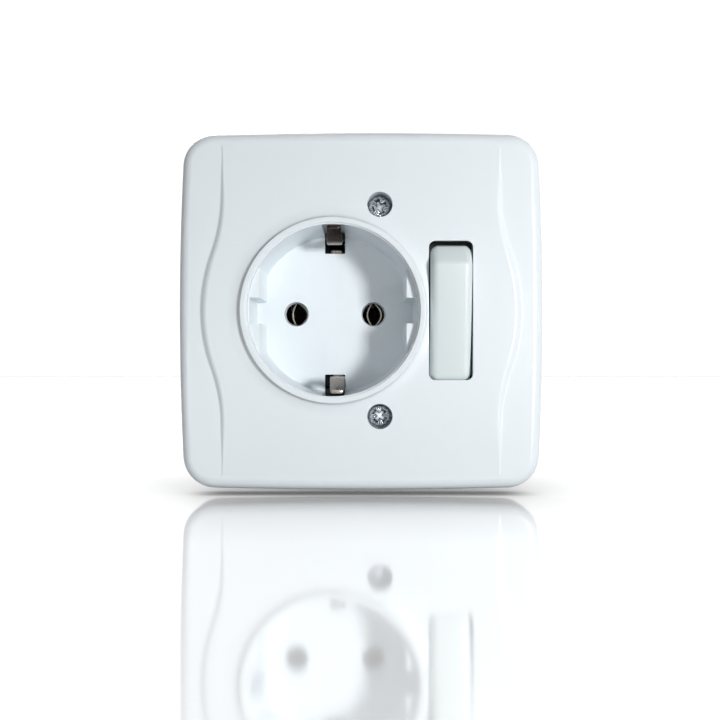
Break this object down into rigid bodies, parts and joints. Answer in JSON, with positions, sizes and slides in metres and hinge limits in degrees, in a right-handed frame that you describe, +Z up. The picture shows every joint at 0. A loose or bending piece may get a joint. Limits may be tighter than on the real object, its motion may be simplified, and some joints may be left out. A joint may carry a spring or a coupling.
{
  "type": "switched socket",
  "caption": "Flush two-pin earthed wall socket with a rocker switch beside its round well, in one white bowed square cover over a sprung-contact base.",
  "frame": {"origin": "centre of the plate on the wall's surface, midway between the box screws", "axes": "+X to the right, +Z up, -Y out of the wall towards the user"},
  "size_m": [0.084, 0.0414, 0.0826],
  "materials": {
    "cover_plastic": "white glossy moulding, slightly cool",
    "rocker_plastic": "white glossy moulding, slightly warmer",
    "base_plastic": "matt dark heat resistant moulding",
    "plunger_plastic": "smooth low friction moulding",
    "frame_steel": "zinc plated pressed steel",
    "screw_zinc": "bright zinc plated screw",
    "earth_steel": "plated spring strip with fine brushing",
    "contact_brass": "stamped brass",
    "tip_silver": "silver contact rivet",
    "spring_steel": "drawn spring wire"
  },
  "bodies": {
    "housing": {"front_cover": "cover_plastic", "base_housing": "base_plastic", "mounting_frame": "frame_steel", "cover_screw_upper": "screw_zinc", "cover_screw_lower": "screw_zinc", "live_contact": "contact_brass", "neutral_contact": "contact_brass", "earth_strap": "earth_steel", "fixed_contact": "contact_brass", "fixed_contact_tip": "tip_silver", "fulcrum_terminal": "contact_brass", "live_clamp": "frame_steel", "live_screw": "screw_zinc", "neutral_clamp": "frame_steel", "neutral_screw": "screw_zinc", "earth_clamp": "frame_steel", "earth_screw": "screw_zinc", "switch_in_clamp": "frame_steel", "switch_in_screw": "screw_zinc", "switch_out_clamp": "frame_steel", "switch_out_screw": "screw_zinc"},
    "rocker": {"rocker": "rocker_plastic"},
    "plunger": {"plunger": "plunger_plastic", "plunger_spring": "spring_steel"},
    "lever": {"contact_lever": "contact_brass", "lever_contact_tip": "tip_silver"},
    "claw_screw_upper": {"claw_screw_upper": "screw_zinc"},
    "claw_nut_upper": {"claw_nut_upper": "frame_steel"},
    "claw_upper": {"claw_upper": "frame_steel"},
    "claw_screw_lower": {"claw_screw_lower": "screw_zinc"},
    "claw_nut_lower": {"claw_nut_lower": "frame_steel"},
    "claw_lower": {"claw_lower": "frame_steel"}
  },
  "joints": [
    {"name": "rocker_tilt", "type": "hinge", "parent": "housing", "child": "rocker", "pos_m": [0.0205, 0.0047, 0], "axis": [1, 0, 0], "range_deg": [-16.8, 0]},
    {"name": "lever_tilt", "type": "hinge", "parent": "housing", "child": "lever", "pos_m": [0.0205, 0.0167, 0], "axis": [1, 0, 0], "range_deg": [0, 16.8]},
    {"name": "plunger_slide", "type": "slide", "parent": "rocker", "child": "plunger", "axis": [0, -0.9893, -0.1461], "range_m": [0, 0.0004], "stiffness_N_per_m": 800, "springref_m": -0.002},
    {"name": "claw_screw_turn_upper", "type": "hinge", "parent": "housing", "child": "claw_screw_upper", "pos_m": [-0.0075, 0, 0.024], "axis": [0, 1, 0], "range_deg": [0, 2160]},
    {"name": "claw_nut_slide_upper", "type": "slide", "parent": "housing", "child": "claw_nut_upper", "axis": [0, -1, 0], "range_m": [0, 0.003]},
    {"name": "claw_swing_upper", "type": "hinge", "parent": "claw_nut_upper", "child": "claw_upper", "pos_m": [-0.0075, 0.0095, 0.025], "axis": [1, 0, 0], "range_deg": [0, 20]},
    {"name": "claw_screw_turn_lower", "type": "hinge", "parent": "housing", "child": "claw_screw_lower", "pos_m": [-0.0075, 0, -0.024], "axis": [0, 1, 0], "range_deg": [0, 2160]},
    {"name": "claw_nut_slide_lower", "type": "slide", "parent": "housing", "child": "claw_nut_lower", "axis": [0, -1, 0], "range_m": [0, 0.003]},
    {"name": "claw_swing_lower", "type": "hinge", "parent": "claw_nut_lower", "child": "claw_lower", "pos_m": [-0.0075, 0.0095, -0.025], "axis": [-1, 0, 0], "range_deg": [0, 20]}
  ],
  "couplings": [
    {"joint": "lever_tilt", "follows": "rocker_tilt", "ratio": -1},
    {"joint": "claw_screw_turn_upper", "follows": "claw_nut_slide_upper", "rad_per_m": 12566},
    {"joint": "claw_swing_upper", "follows": "claw_nut_slide_upper", "rad_per_m": 116.36},
    {"joint": "claw_screw_turn_lower", "follows": "claw_nut_slide_lower", "rad_per_m": 12566},
    {"joint": "claw_swing_lower", "follows": "claw_nut_slide_lower", "rad_per_m": 116.36}
  ]
}
